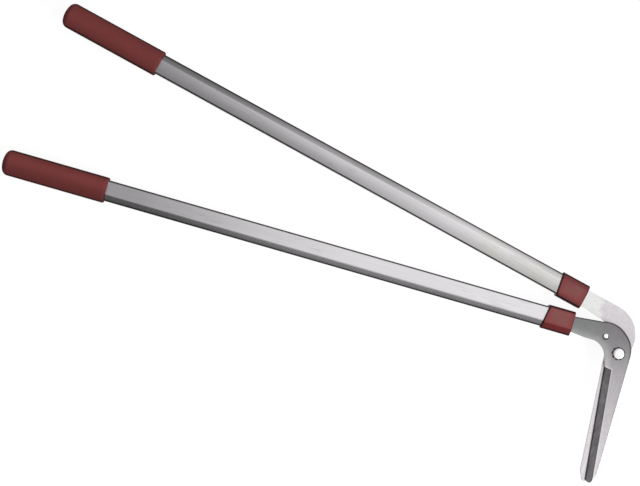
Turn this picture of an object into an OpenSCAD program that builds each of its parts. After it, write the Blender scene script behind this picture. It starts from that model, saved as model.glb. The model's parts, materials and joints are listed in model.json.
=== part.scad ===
// Long-handled edging shears, lying flat with their blades closed.
// The origin is on the pivot's axis, at the level that the shears lie on. +Z is up, and -X runs
// midway between the two handles. The lower half, with the near blade, is on the -Y side.
// Each half is drawn in its own plane: the pivot at the origin and the handle towards -X.

/* [Handles] */
// Length of a handle, from the front of its collar to the end of its grip
handle_len = 829; // [600:1:1000]
// Angle between the handles when the blades are closed
closed_angle = 12.8; // [11:0.1:20]
// Width of a handle's tube
tube_w = 30; // [28:0.5:36]
// Depth of a handle's tube
tube_d = 18; // [17:0.5:22]
// Wall of a handle's tube
tube_wall = 1.4; // [1:0.1:1.8]
// Width of the sloping facets along a tube's outer side
facet_w = 8; // [6:0.5:10]
// How far those facets fall towards the outer side
facet_drop = 6; // [3:0.5:7]
// Rounding along a tube's inner side
inner_round = 3; // [2:0.5:4]
// Rounding along a tube's outer side
outer_round = 2.6; // [1.8:0.1:3]
// Rounding of the crease between a tube's face and its facet
crease_round = 2; // [1.8:0.1:4]

/* [Grips] */
// Length of a grip
grip_len = 150.5; // [100:0.5:200]
// Wall of a grip where it is thinnest, over the tube's corners
grip_wall = 1.8; // [1:0.1:4]
// Wall of a grip's closed end
grip_end_wall = 9; // [8.5:0.5:12]
// Rounding of a grip's closed end
grip_end_round = 9; // [5:0.5:9]
// Rounding of a grip's open end
grip_lip_round = 2.5; // [1:0.5:4]
// How far the closed end bulges beyond its rim
grip_dome = 3.6; // [2:0.1:5]
// Play between a grip and its tube
grip_fit = 0.1; // [0.05:0.05:0.3]
// Thickness of the flange of a tube's end plug
plug_flange = 2; // [1.5:0.5:3]
// Length of an end plug inside the tube
plug_len = 16; // [10:1:30]
// Play between an end plug and the tube's bore
plug_fit = 0.1; // [0.05:0.05:0.3]

/* [Collars] */
// Length of a collar along its inner side
collar_len = 37; // [32:0.5:60]
// How much longer a collar is along its outer side
collar_skew = 5; // [0:0.5:9]
// How far a collar's rear end bulges
collar_bulge = 1.4; // [0.2:0.1:3]
// Wall of a collar
collar_wall = 2.4; // [1.2:0.1:3]
// Thickness of a collar's front wall, which the blade's arm passes through
collar_lip = 3; // [2:0.5:5]
// Play between a collar and its tube
collar_fit = 0.1; // [0.05:0.05:0.3]
// Rounding of a collar's rims
collar_rim = 0.8; // [0.4:0.1:1]

/* [Sockets] */
// Length of the socket inside a tube
socket_len = 64; // [50:1:90]
// Play between a socket and the tube's bore
socket_fit = 0.1; // [0.05:0.05:0.3]
// Length of a blade's tang inside its socket
tang_len = 56; // [40:1:62]
// Width of a blade's tang
tang_w = 16; // [12:0.5:17]
// Play between a tang and its socket
tang_fit = 0.1; // [0.05:0.05:0.3]
// Diameter of the pin that holds a tang
tang_pin_d = 5; // [3:0.5:7]
// Distance from a collar's front to the tang pin
tang_pin_at = 19.5; // [12:0.5:24]
// Play between a tang pin and its holes
tang_pin_fit = 0.05; // [0.02:0.01:0.2]

/* [Blades] */
// Thickness of a blade
blade_t = 4.5; // [3:0.1:5.4]
// Gap between the two blades
blade_gap = 0.6; // [0.4:0.1:1]
// Distance from the pivot to a blade's tip
blade_reach = 187; // [150:1:230]
// Distance from the pivot to a blade's back edge
back_x = 17.6; // [16:0.2:22]
// Distance from the pivot to the heel of the cutting edge, square to the back edge
heel_x = 13.4; // [12.6:0.1:16]
// Distance from the pivot to the heel of the cutting edge, along the back edge
heel_y = 22.9; // [18:0.1:30]
// Width of a blade near its tip
tip_w = 13.6; // [13:0.2:18]
// Width of the bevel along the cutting edge
bevel_w = 9.9; // [6:0.1:12]
// Thickness left at the cutting edge
edge_t = 0.6; // [0.3:0.1:1]
// Slant of the bevel's upper end
bevel_slant = 15; // [0:1:30]
// Angle between the far blade's back edge and the square to its handle
far_splay = 16.8; // [14:0.1:19]

/* [Arms] */
// Distance from the pivot to the lower handle's axis
near_offset = 22; // [20:0.5:28]
// Distance from the pivot to the upper handle's axis
far_offset = 46; // [42:0.5:52]
// Distance from the pivot to the lower collar, along the handle
near_reach = 73.4; // [66:0.1:100]
// Distance from the pivot to the upper collar, along the handle
far_reach = 79.4; // [72:0.1:110]
// Width of the near blade's arm at its collar
near_arm_w = 22.4; // [20:0.1:24]
// Width of the far blade's arm at its collar
far_arm_w = 24.4; // [20:0.1:25]
// Rise of the near arm's upper edge before the shoulder
near_rise = 4; // [2:0.5:5]
// Rise of the near blade's shoulder
shoulder_rise = 8.3; // [6:0.1:10]
// Rounding of the near blade's shoulder
near_shoulder = 36; // [20:1:37]
// Rounding of the far blade's shoulder
far_shoulder = 45; // [30:1:46]
// Rounding of the near blade's inner corner
near_crook = 24; // [14:1:26]
// Rounding of the far blade's inner corner
far_crook = 22; // [16:1:24]

/* [Pivot] */
// Diameter of the pivot bolt
bolt_d = 10; // [8:0.5:12]
// Diameter of the bolt's head
head_d = 15; // [14:0.2:17]
// Height of the straight rim of the bolt's head
head_rim = 1.1; // [0.6:0.1:3]
// Height of the dome on the bolt's head
head_dome = 1.3; // [0.5:0.1:3]
// Play of the far blade on the bolt
run_fit = 0.05; // [0.01:0.01:0.1]
// Play of the near blade, the washers and the nut on the bolt
bolt_fit = 0.05; // [0.02:0.01:0.2]
// End play on each side of the far blade
end_play = 0.05; // [0.02:0.01:0.1]
// Diameter of the toothed washer under the bolt's head
tooth_washer_d = 18.4; // [17:0.2:26]
// Thickness of the toothed washer
tooth_washer_t = 0.8; // [0.5:0.1:1.5]
// Number of teeth on the toothed washer
teeth = 9; // [7:1:14]
// Depth of the notches between the teeth
tooth_depth = 1.7; // [1:0.1:2]
// Diameter of the thrust washer between the blades
thrust_washer_d = 24; // [18:0.5:26]
// Diameter of the spring washer behind the far blade
spring_washer_d = 23; // [18:0.5:26]
// Height of the coned spring washer
spring_washer_h = 2; // [1.2:0.1:2.4]
// Thickness of the spring washer's metal
spring_washer_t = 1.2; // [0.8:0.1:1.5]
// Size of the lock nut across its flats
nut_af = 17; // [15:0.5:19]
// Height of the lock nut's hexagon
nut_hex_h = 6.4; // [5:0.1:7]
// Height of the lock nut's round collar
nut_collar_h = 2.8; // [2:0.1:3.4]

/* [Stop] */
// Distance of the stop pin from the pivot, along the lower handle
stop_x = 23.7; // [22:0.1:25]
// Distance of the stop pin from the pivot, square to the lower handle
stop_y = 19.1; // [17:0.1:21]
// Diameter of the stop pin's head on the near blade
stop_head_d = 6.8; // [6:0.1:9]
// Height of the stop pin's head
stop_head_h = 1.1; // [0.6:0.1:2]
// Diameter of the stop pin's shank through the near blade
stop_shank_d = 5; // [4:0.1:6]
// Diameter of the stop pin beside the far blade
stop_d = 9; // [7:0.1:10]
// Gap between the stop pin and its seat in the far blade when closed
stop_gap = 0.3; // [0.1:0.05:0.5]

/* [Hidden] */

// Cuts run past the faces that they open by this much
over = 1;
// Longest turn of one flat in a rounded corner, in degrees
arc_step = 4;
// Sides of a drawn circle, and of the wide one behind a collar
round_fn = 96;
arc_fn = 360;

maroon = [0.44, 0.21, 0.2];
tube_silver = [0.72, 0.72, 0.74];
near_steel = [0.6, 0.59, 0.6];
far_steel = [0.84, 0.83, 0.85];
bright_steel = [0.93, 0.93, 0.94];
dark_steel = [0.28, 0.27, 0.29];
moulded_black = [0.12, 0.12, 0.13];

// A corner is [x, y, rounding].
function flat(c) = [c[0], c[1]];
function unit(v) = v / norm(v);
function short_turn(a) = (((a + 180) % 360) + 360) % 360 - 180;
// The points of corner b's rounding, between the corners a and c
function corner(a, b, c) =
    let (
        back = unit(flat(a) - flat(b)),
        ahead = unit(flat(c) - flat(b)),
        half = acos(back * ahead) / 2,
        centre = flat(b) + unit(back + ahead) * b[2] / sin(half),
        from = flat(b) + back * b[2] / tan(half) - centre,
        to = flat(b) + ahead * b[2] / tan(half) - centre,
        start = atan2(from[1], from[0]),
        turn = short_turn(atan2(to[1], to[0]) - start),
        steps = ceil(abs(turn) / arc_step)
    )
    [for (i = [0:steps]) centre + b[2] * [cos(start + turn * i / steps), sin(start + turn * i / steps)]];
// A closed outline of corners, as points
function rounded(corners) =
    let (n = len(corners))
    [for (i = [0:n - 1]) each
        corners[i][2] > 0
            ? corner(corners[(i + n - 1) % n], corners[i], corners[(i + 1) % n])
            : [flat(corners[i])]];
// A convex outline of corners moved outwards by d, or inwards where d is negative
least_round = 0.4;
function grown(corners, d) =
    let (n = len(corners))
    [for (i = [0:n - 1])
        let (
            back = unit(flat(corners[(i + n - 1) % n]) - flat(corners[i])),
            ahead = unit(flat(corners[(i + 1) % n]) - flat(corners[i])),
            half = acos(back * ahead) / 2,
            moved = flat(corners[i]) - unit(back + ahead) * d / sin(half)
        )
        [moved[0], moved[1], max(corners[i][2] + d, least_round)]];

// The tube's section: x points to the handle's outer side, y is up.
tube_corners = [
    [-tube_w / 2, -tube_d / 2, inner_round],
    [tube_w / 2 - facet_w, -tube_d / 2, crease_round],
    [tube_w / 2, -tube_d / 2 + facet_drop, outer_round],
    [tube_w / 2, tube_d / 2 - facet_drop, outer_round],
    [tube_w / 2 - facet_w, tube_d / 2, crease_round],
    [-tube_w / 2, tube_d / 2, inner_round]
];
tube_reach = max([for (p = rounded(tube_corners)) norm(p)]);
grip_r = tube_reach + grip_fit + grip_wall;
// The shears lie on their grips and on the end of the pivot bolt.
lie_h = grip_r;
tube_end = handle_len - grip_end_wall - plug_flange;
tang_seat = 0.1;
tang_round = 2;

// The blade end in the near blade's plane, from the back edge round the tip to the heel
tip_rise = 16;
tip_shift = 0.8;
tip_back_round = 12;
tip_round = 4;
edge_round = 3;
edge_end_rise = 4;
edge_end_y = blade_reach - edge_end_rise;
edge_end_x = back_x - tip_w;
taper = atan((edge_end_x + heel_x) / (edge_end_y - heel_y));
tip_x = (edge_end_x + back_x) / 2 + tip_shift;
blade_corners = [
    [back_x, -blade_reach + tip_rise, tip_back_round],
    [tip_x, -blade_reach, tip_round],
    [edge_end_x, -edge_end_y, edge_round],
    [-heel_x, -heel_y, edge_round]
];
// Roundings of the slight bends along the arms
arm_round = 60;
rise_round = 12;
dip_round = 40;
root_round = 30;
foot_round = 20;
// A corner of the blade end, turned over and splayed into the far blade's plane
function far_place(c) = [
    -c[0] * cos(far_splay) - c[1] * sin(far_splay),
    -c[0] * sin(far_splay) + c[1] * cos(far_splay),
    c[2]
];
// The tang's corners, with the arm's shoulders seated in the collar's front wall
function tang_corners(reach, offset, arm_w) = [
    [-reach - collar_lip + tang_seat, offset - arm_w / 2, 0],
    [-reach - collar_lip + tang_seat, offset - tang_w / 2, 0],
    [-reach - tang_len, offset - tang_w / 2, tang_round],
    [-reach - tang_len, offset + tang_w / 2, tang_round],
    [-reach - collar_lip + tang_seat, offset + tang_w / 2, 0],
    [-reach - collar_lip + tang_seat, offset + arm_w / 2, 0]
];

// The near arm, from its collar over the shoulder to the blade, and back from the heel.
// The places along it are distances from the pivot.
near_top = near_offset + near_arm_w / 2;
near_low = near_offset - near_arm_w / 2;
near_bend = near_reach - 2;
near_rise_at = 33;
near_shoulder_at = 10.9;
near_back_y = 16.3;
near_crook_at = 23.1;
near_crook_drop = 2.1;
near_dip_at = 52;
near_dip = 2;
near_corners = concat(
    tang_corners(near_reach, near_offset, near_arm_w),
    [
        [-near_bend, near_top, arm_round],
        [-near_rise_at, near_top + near_rise, rise_round],
        [-near_shoulder_at, near_top + shoulder_rise, near_shoulder],
        [back_x, near_back_y, near_shoulder]
    ],
    blade_corners,
    [
        [-near_crook_at, near_low - near_crook_drop, near_crook],
        [-near_dip_at, near_low - near_dip, dip_round],
        [-near_bend, near_low, foot_round]
    ]
);

// The far arm, from its collar over the shoulder to the blade, and back from the blade's root
far_top = far_offset + far_arm_w / 2;
far_low = far_offset - far_arm_w / 2;
far_bend = far_reach - 8;
far_shoulder_x = 15.4;
far_shoulder_y = 9;
far_root_y = 32;
far_crook_at = 28.4;
far_crook_drop = 2.6;
far_dip_at = 50;
far_dip = 2.4;
far_corners = concat(
    tang_corners(far_reach, far_offset, far_arm_w),
    [
        [far_shoulder_x, far_top, far_shoulder],
        [far_shoulder_x, far_shoulder_y, root_round]
    ],
    [for (i = [len(blade_corners) - 1:-1:0]) far_place(blade_corners[i])],
    [
        far_place([back_x, -far_root_y, foot_round]),
        [-far_crook_at, far_low - far_crook_drop, far_crook],
        [-far_dip_at, far_low - far_dip, root_round],
        [-far_bend, far_low, foot_round]
    ]
);

bolt_r = bolt_d / 2;
blade_top = blade_gap / 2 + blade_t;
head_seat = blade_top + tooth_washer_t;
spring_seat = blade_top + end_play;
nut_seat = spring_seat + spring_washer_h;

// Places in the shears' own frame
module lower_half() {
    translate([0, 0, lie_h]) rotate([0, 0, closed_angle / 2]) children();
}
module upper_half() {
    translate([0, 0, lie_h]) rotate([0, 0, -closed_angle / 2]) children();
}
// Handles run from the collar's front towards -X, with their outer side where y is negative.
module lower_handle() {
    lower_half() translate([-near_reach, near_offset, 0]) children();
}
module upper_handle() {
    upper_half() translate([-far_reach, far_offset, 0]) mirror([0, 1, 0]) children();
}

// A stretch of a handle with the section's corners, between two distances from the collar's front
module bar(corners, from, to) {
    translate([-from, 0, 0]) rotate([90, 0, -90]) linear_extrude(to - from) polygon(rounded(corners));
}

module tube() {
    color(tube_silver) difference() {
        bar(tube_corners, collar_lip, tube_end);
        bar(grown(tube_corners, -tube_wall), collar_lip - over, tube_end + over);
        tang_pin_hole();
    }
}

module tang_pin_hole() {
    translate([-tang_pin_at, 0, -tube_d])
        cylinder(r = tang_pin_d / 2 + tang_pin_fit, h = 2 * tube_d, $fn = round_fn);
}

module tang_pin() {
    color(dark_steel) translate([-tang_pin_at, 0, -tube_d / 2])
        cylinder(d = tang_pin_d, h = tube_d, $fn = round_fn);
}

// side is 1 where the tang is above the handle's middle, and -1 where it is below.
module socket(side) {
    slot_h = blade_t + 2 * tang_fit;
    color(moulded_black) difference() {
        bar(grown(tube_corners, -tube_wall - socket_fit), collar_lip, collar_lip + socket_len);
        translate([
            -tang_len - tang_fit,
            -tang_w / 2 - tang_fit,
            side * (blade_gap + blade_t) / 2 - slot_h / 2
        ])
            cube([tang_len - collar_lip + tang_fit + over, tang_w + 2 * tang_fit, slot_h]);
        tang_pin_hole();
    }
}

module collar(side, arm_w) {
    outer = grown(tube_corners, collar_fit + collar_wall);
    slot_w = arm_w + 2 * tang_fit;
    slot_h = blade_t + 2 * tang_fit;
    long = collar_len + collar_skew + collar_bulge;
    color(maroon) difference() {
        union() {
            bar(grown(outer, -collar_rim), 0, long);
            bar(outer, collar_rim, long);
        }
        bar(grown(tube_corners, collar_fit), collar_lip, long + over);
        translate([-collar_lip - over, -slot_w / 2, side * (blade_gap + blade_t) / 2 - slot_h / 2])
            cube([collar_lip + 2 * over, slot_w, slot_h]);
        collar_rear_cut();
    }
}

// What leaves a collar's rear end skewed and bulging: all behind an arc over its slanting chord
module collar_rear_cut() {
    half_w = tube_w / 2 + collar_fit + collar_wall;
    half_chord = norm([half_w, collar_skew / 2]);
    arc_r = (half_chord * half_chord + collar_bulge * collar_bulge) / (2 * collar_bulge);
    translate([-collar_len - collar_skew / 2, 0, -tube_w])
        rotate([0, 0, -atan(collar_skew / 2 / half_w)]) difference() {
            translate([-tube_w, -tube_w, 0]) cube([tube_w + over, 2 * tube_w, 2 * tube_w]);
            translate([arc_r - collar_bulge, 0, -over])
                cylinder(r = arc_r, h = 2 * tube_w + 2 * over, $fn = arc_fn);
        }
}

module grip() {
    crown_r = grip_r * 0.4;
    crown_round = 20;
    outline = [
        [0, 0, 0],
        [grip_r, 0, grip_lip_round],
        [grip_r, grip_len - grip_dome, grip_end_round],
        [crown_r, grip_len, crown_round],
        [0, grip_len, 0]
    ];
    color(maroon) difference() {
        translate([-handle_len + grip_len, 0, 0]) rotate([0, -90, 0])
            rotate_extrude($fn = round_fn) polygon(rounded(outline));
        bar(
            grown(tube_corners, grip_fit),
            handle_len - grip_len - over,
            handle_len - grip_end_wall
        );
    }
}

module end_plug() {
    color(moulded_black) union() {
        bar(tube_corners, tube_end, tube_end + plug_flange);
        bar(grown(tube_corners, -tube_wall - plug_fit), tube_end - plug_len, tube_end + over);
    }
}

// What the bevel takes off a blade, from the heel past the tip
module bevel_cut() {
    slope = (blade_t - edge_t) / bevel_w;
    run = blade_reach + 2 * tip_rise;
    translate([-heel_x, -heel_y, blade_gap / 2]) rotate([0, 0, taper - 90]) difference() {
        translate([-bevel_w, 0, 0]) rotate([90, 0, 90]) linear_extrude(run) polygon([
            [-over, edge_t - over * slope],
            [bevel_w + over, blade_t + over * slope],
            [-over, blade_t + over * slope]
        ]);
        rotate([0, 0, -bevel_slant]) translate([-3 * bevel_w, -bevel_w, -over])
            cube([3 * bevel_w, 3 * bevel_w, blade_t + 3 * over]);
    }
}

module blade_plate(corners) {
    translate([0, 0, blade_gap / 2]) linear_extrude(blade_t) polygon(rounded(corners));
}

module blade_hole(at, r) {
    translate([at[0], at[1], -over]) cylinder(r = r, h = blade_top + 2 * over, $fn = round_fn);
}

module near_blade() {
    color(near_steel) difference() {
        blade_plate(near_corners);
        bevel_cut();
        blade_hole([0, 0], bolt_r + bolt_fit);
        blade_hole([-stop_x, stop_y], stop_shank_d / 2 + bolt_fit);
        blade_hole([-near_reach - tang_pin_at, near_offset], tang_pin_d / 2 + tang_pin_fit);
    }
}

// The far blade is drawn face up like the near one, and turned over by the mirror.
module far_blade() {
    stop_at = [
        -stop_x * cos(closed_angle) - stop_y * sin(closed_angle),
        -stop_x * sin(closed_angle) + stop_y * cos(closed_angle)
    ];
    color(far_steel) mirror([0, 0, 1]) difference() {
        blade_plate(far_corners);
        rotate([0, 0, far_splay]) mirror([1, 0, 0]) bevel_cut();
        blade_hole([0, 0], bolt_r + run_fit);
        blade_hole(stop_at, stop_d / 2 + stop_gap);
        blade_hole([-far_reach - tang_pin_at, far_offset], tang_pin_d / 2 + tang_pin_fit);
    }
}

module stop_pin() {
    foot = 0.5;
    head_round = stop_head_h * 0.8;
    seat = 2 * blade_top - blade_gap / 2;
    rivet = [
        [0, 0, 0],
        [stop_d / 2, 0, foot],
        [stop_d / 2, blade_top, 0],
        [stop_shank_d / 2, blade_top, 0],
        [stop_shank_d / 2, seat, 0],
        [stop_head_d / 2, seat, 0],
        [stop_head_d / 2, seat + stop_head_h, head_round],
        [0, seat + stop_head_h, 0]
    ];
    color(bright_steel) translate([-stop_x, stop_y, blade_gap / 2 - blade_top])
        rotate_extrude($fn = round_fn) polygon(rounded(rivet));
}

module pivot_bolt() {
    tail_round = 0.8;
    rim_round = 1;
    bolt = [
        [0, -lie_h, 0],
        [bolt_r, -lie_h, tail_round],
        [bolt_r, head_seat, 0],
        [head_d / 2, head_seat, 0],
        [head_d / 2, head_seat + head_rim, rim_round],
        [head_d / 4, head_seat + head_rim + head_dome, head_d / 4],
        [0, head_seat + head_rim + head_dome, 0]
    ];
    color(bright_steel) rotate_extrude($fn = round_fn) polygon(rounded(bolt));
}

module ring(d, from, to) {
    translate([0, 0, from]) difference() {
        cylinder(d = d, h = to - from, $fn = round_fn);
        translate([0, 0, -over])
            cylinder(r = bolt_r + bolt_fit, h = to - from + 2 * over, $fn = round_fn);
    }
}

module tooth_washer() {
    notch_w = PI * tooth_washer_d / teeth / 2;
    color(dark_steel) difference() {
        ring(tooth_washer_d, blade_top, head_seat);
        for (i = [0:teeth - 1]) rotate([0, 0, 360 / teeth * i])
            translate([tooth_washer_d / 2 - tooth_depth, -notch_w / 2, blade_top - over])
                cube([2 * tooth_depth, notch_w, tooth_washer_t + 2 * over]);
    }
}

module thrust_washer() {
    half = blade_gap / 2 - end_play;
    color(dark_steel) ring(thrust_washer_d, -half, half);
}

module spring_washer() {
    inner = bolt_r + bolt_fit;
    cone = [
        [inner, -nut_seat],
        [inner, -nut_seat + spring_washer_t],
        [spring_washer_d / 2, -spring_seat],
        [spring_washer_d / 2, -spring_seat - spring_washer_t]
    ];
    color(dark_steel) rotate_extrude($fn = round_fn) polygon(cone);
}

module lock_nut() {
    hex_r = nut_af / 2 / cos(30);
    step = 1;
    collar_r = nut_af / 2 - step;
    color(bright_steel) difference() {
        union() {
            translate([0, 0, -nut_seat - nut_hex_h]) cylinder(r = hex_r, h = nut_hex_h, $fn = 6);
            translate([0, 0, -nut_seat - nut_hex_h - nut_collar_h])
                cylinder(r = collar_r, h = nut_collar_h + over, $fn = round_fn);
        }
        translate([0, 0, -lie_h - over])
            cylinder(r = bolt_r + bolt_fit, h = lie_h, $fn = round_fn);
    }
}

lower_half() near_blade();
upper_half() far_blade();
lower_half() pivot_bolt();
lower_half() tooth_washer();
lower_half() thrust_washer();
lower_half() spring_washer();
lower_half() lock_nut();
lower_half() stop_pin();
lower_handle() tube();  // lower_tube
upper_handle() tube();  // upper_tube
lower_handle() collar(1, near_arm_w);  // lower_collar
upper_handle() collar(-1, far_arm_w);  // upper_collar
lower_handle() socket(1);  // lower_socket
upper_handle() socket(-1);  // upper_socket
lower_handle() tang_pin();  // lower_tang_pin
upper_handle() tang_pin();  // upper_tang_pin
lower_handle() grip();  // lower_grip
upper_handle() grip();  // upper_grip
lower_handle() end_plug();  // lower_end_plug
upper_handle() end_plug();  // upper_end_plug
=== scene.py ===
import json
import math

import bmesh
import bpy
from bpy.props import FloatProperty, FloatVectorProperty, IntProperty, PointerProperty
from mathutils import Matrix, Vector


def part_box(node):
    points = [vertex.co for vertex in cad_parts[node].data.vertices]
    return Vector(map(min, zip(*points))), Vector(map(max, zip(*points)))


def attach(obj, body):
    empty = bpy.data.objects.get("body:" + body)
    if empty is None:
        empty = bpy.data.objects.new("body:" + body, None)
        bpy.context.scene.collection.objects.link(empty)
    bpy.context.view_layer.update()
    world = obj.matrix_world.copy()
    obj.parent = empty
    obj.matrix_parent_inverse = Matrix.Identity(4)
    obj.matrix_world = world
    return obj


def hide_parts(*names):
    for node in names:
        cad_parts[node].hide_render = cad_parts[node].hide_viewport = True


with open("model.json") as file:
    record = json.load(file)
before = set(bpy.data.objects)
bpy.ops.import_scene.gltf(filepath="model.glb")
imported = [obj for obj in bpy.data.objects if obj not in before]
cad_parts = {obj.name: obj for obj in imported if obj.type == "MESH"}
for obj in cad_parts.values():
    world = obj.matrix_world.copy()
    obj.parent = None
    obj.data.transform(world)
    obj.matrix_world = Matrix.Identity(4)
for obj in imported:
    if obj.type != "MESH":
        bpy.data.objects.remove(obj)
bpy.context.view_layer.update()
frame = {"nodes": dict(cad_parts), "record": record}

bl_info = {
    "name": "Edging Shears",
    "version": (1, 0, 0),
    "blender": (4, 5, 0),
    "location": "View3D > Sidebar > Shears",
    "description": "Finishes a pair of long-handled edging shears round their CAD frame",
    "category": "Object",
}

MM = 0.001
GRIP_HOLD = next(m for m in frame["record"]["mounts"] if m["name"] == "lower_grip_hold")
# The two handles stand at this angle each side of -X, and their axes lie at this height
HALF_ANGLE = math.atan2(-GRIP_HOLD["axis"][1], -GRIP_HOLD["axis"][0])
LIE_H = GRIP_HOLD["pos_m"][2]
HALVES = ("lower", "upper")
# Faces round the bolt and its washer
SIDES = 96
# Where the side lamp hangs, and what it points at
LAMP_PLACE, LAMP_AIM = (2.2, -0.3, 1.3), (-0.35, 0, 0)
# The floor's grey in the light that it gives back, its grey as seen, and its glow then
FLOOR_LIT, FLOOR_SEEN, FLOOR_GLOW = (0.14, 0.14, 0.14, 1.0), (0.19, 0.19, 0.19, 1.0), 0.89
WHITE = (1.0, 1.0, 1.0, 1.0)


# ---- Sizes and colours ----


def length(name, default, description):
    return FloatProperty(
        name=name, description=description, default=default, unit="LENGTH", precision=4
    )


def spot(name, default, description):
    return FloatVectorProperty(
        name=name, description=description, default=default, size=len(default), unit="LENGTH",
        precision=4
    )


def angle(name, degrees, description):
    return FloatProperty(
        name=name, description=description, default=math.radians(degrees), subtype="ANGLE"
    )


def count(name, default, description):
    return IntProperty(name=name, description=description, default=default, min=5, max=240)


def colour(name, default, description):
    return FloatVectorProperty(
        name=name, description=description, default=default, subtype="COLOR_GAMMA", min=0.0, max=1.0
    )


class HandleSizes(bpy.types.PropertyGroup):
    tube_w: length("Tube width", 0.030, "Width of a handle's tube")
    tube_d: length("Tube depth", 0.018, "Depth of a handle's tube")
    facet_w: length("Facet width", 0.008, "Width of its two sloping facets")
    facet_drop: length("Facet drop", 0.006, "How far the facets fall")
    inner_round: length("Inner rounding", 0.003, "Rounding along a tube's inner side")
    outer_round: length("Outer rounding", 0.0026, "Rounding along a tube's outer side")
    crease_round: length("Crease rounding", 0.002, "Rounding between face and facet")
    near_reach: length("Near reach", 0.0734, "From the pivot to the lower collar")
    far_reach: length("Far reach", 0.0794, "From the pivot to the upper collar")
    near_offset: length("Near offset", 0.022, "From the pivot to the lower handle's axis")
    far_offset: length("Far offset", 0.046, "From the pivot to the upper handle's axis")


class GripSizes(bpy.types.PropertyGroup):
    start: length("Start", 0.6785, "From a collar's front to the grip's open end")
    length: length("Length", 0.1505, "Length of a grip")
    radius: length("Radius", LIE_H, "Radius of a grip")
    end_wall: length("End wall", 0.009, "Wall of a grip's closed end")
    end_round: length("End rounding", 0.009, "Rounding of a grip's closed end")
    dome: length("Dome", 0.0036, "How far the closed end bulges")
    lip_round: length("Lip rounding", 0.0025, "Rounding of a grip's open end")
    seam_w: length("Seam width", 0.0012, "Width of the mould seam")
    seam_depth: length("Seam depth", 0.00025, "Depth of the mould seam")
    sides: count("Sides", 120, "Faces round a grip")


class CollarSizes(bpy.types.PropertyGroup):
    length: length("Length", 0.037, "Length of a collar along its inner side")
    skew: length("Skew", 0.005, "How much longer its outer side is")
    bulge: length("Bulge", 0.0014, "How far a collar's rear end bulges")
    wall: length("Wall", 0.0024, "Wall of a collar")
    lip: length("Front wall", 0.003, "Thickness of a collar's front wall")
    fit: length("Fit", 0.0001, "Play between a collar and its tube")
    rim: length("Rim", 0.0008, "Rounding of a collar's rims")
    near_arm_w: length("Near arm width", 0.0224, "Width of the near blade's arm")
    far_arm_w: length("Far arm width", 0.0244, "Width of the far blade's arm")


class BladeSizes(bpy.types.PropertyGroup):
    thickness: length("Thickness", 0.0045, "Thickness of a blade")
    gap: length("Gap", 0.0006, "Gap between the blades")
    soft_edge: length("Soft edge", 0.0005, "Rounding of a blade's rims")
    heel: spot("Heel", (-0.0134, -0.0229), "Heel of the cutting edge, from the pivot")
    tip: spot("Tip", (0.0040, -0.183), "Tip of the cutting edge, from the pivot")
    bevel_w: length("Bevel width", 0.0099, "Width of the ground bevel")
    bevel_slant: angle("Bevel slant", 15, "Slant of the bevel's upper end")
    stop: spot("Stop", (-0.0237, 0.0191), "The near blade's stop pin, from the pivot")
    far_splay: angle("Far splay", 16.8, "Angle of the far blade to its handle's square")


class PivotSizes(bpy.types.PropertyGroup):
    bolt_r: length("Bolt radius", 0.005, "Radius of the pivot bolt")
    head_r: length("Head radius", 0.0075, "Radius of the bolt's head")
    washer_r: length("Washer radius", 0.0092, "Radius of the toothed washer")
    tooth_depth: length("Tooth depth", 0.0017, "Depth of the notches between them")
    teeth: count("Teeth", 9, "Number of teeth")
    thread_pitch: length("Thread pitch", 0.0015, "Pitch of the bolt's thread")
    thread_depth: length("Thread depth", 0.00045, "Half the height of its ridge")


class Finishes(bpy.types.PropertyGroup):
    tube: colour("Tube", (0.921, 0.908, 0.921), "Drawn aluminium of the lower handle")
    # Painted shade: the upper tube's colour is the lower tube's aluminium made darker
    upper_tube: colour("Upper tube", (0.861, 0.849, 0.86), "Drawn aluminium of the upper handle")
    tube_tarnish: colour("Tube tarnish", (0.85, 0.845, 0.822), "Its faint yellowish patches")
    near_steel: colour("Near blade", (0.845, 0.828, 0.842), "Ground steel of the near blade")
    near_arm: colour("Near arm", (0.848, 0.857, 0.853), "The same steel by the collar, greyer")
    far_steel: colour("Far blade", (0.86, 0.843, 0.856), "Ground steel of the far blade")
    # The far blade's colour towards the collar, lighter
    far_arm: colour("Far arm", (0.925, 0.93, 0.918), "The same steel by the collar, cleaner")
    bevel: colour("Bevel", (0.755, 0.735, 0.752), "Ground bevel along the cutting edges")
    bright: colour("Bright hardware", (0.97, 0.97, 0.975), "Plated bolt head, nut and stop pin")
    dark: colour("Dark hardware", (0.24, 0.23, 0.24), "Blackened washers")
    grip: colour("Grip", (0.497, 0.252, 0.248), "Moulded maroon of the grips")
    collar: colour("Collar", (0.515, 0.25, 0.255), "Moulded maroon of the collars")
    # A greyer colour for the middle of the collars' faces
    collar_rub: colour("Collar rub", (0.50, 0.305, 0.295), "Rubbed middle of the collars")
    # Painted shade: the collars' facets are given a darker maroon
    collar_facet: colour("Collar facet", (0.407, 0.148, 0.155), "Darker maroon of their facets")
    inner: colour("Inner plastic", (0.13, 0.13, 0.135), "Moulded fillings inside the tubes")


class StageSizes(bpy.types.PropertyGroup):
    floor_r: length("Floor radius", 12.0, "Radius of the flat floor")
    wall_h: length("Wall height", 2.6, "Height of the round wall")
    camera: spot("Camera", (-0.4452, -0.0160, 1.9726), "Place of the camera")
    roll: angle("Roll", 22.4, "Turn of the picture")
    lens: FloatProperty(name="Lens", description="Focal length, mm on a 36 mm film", default=78.35)
    lamp: FloatProperty(
        name="Lamp", description="Power of the side lamp", default=68.0, unit="POWER"
    )
    lamp_size: length("Lamp size", 1.4, "Width of the side lamp")


GROUPS = {
    "handle": HandleSizes,
    "grip": GripSizes,
    "collar": CollarSizes,
    "blade": BladeSizes,
    "pivot": PivotSizes,
    "finish": Finishes,
    "stage": StageSizes,
}


def chosen(group):
    """The scene's own sizes or colours of a group."""
    return getattr(bpy.context.scene, "shears_" + group)


# ---- Outlines: a corner is (x, y, rounding) ----


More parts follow.
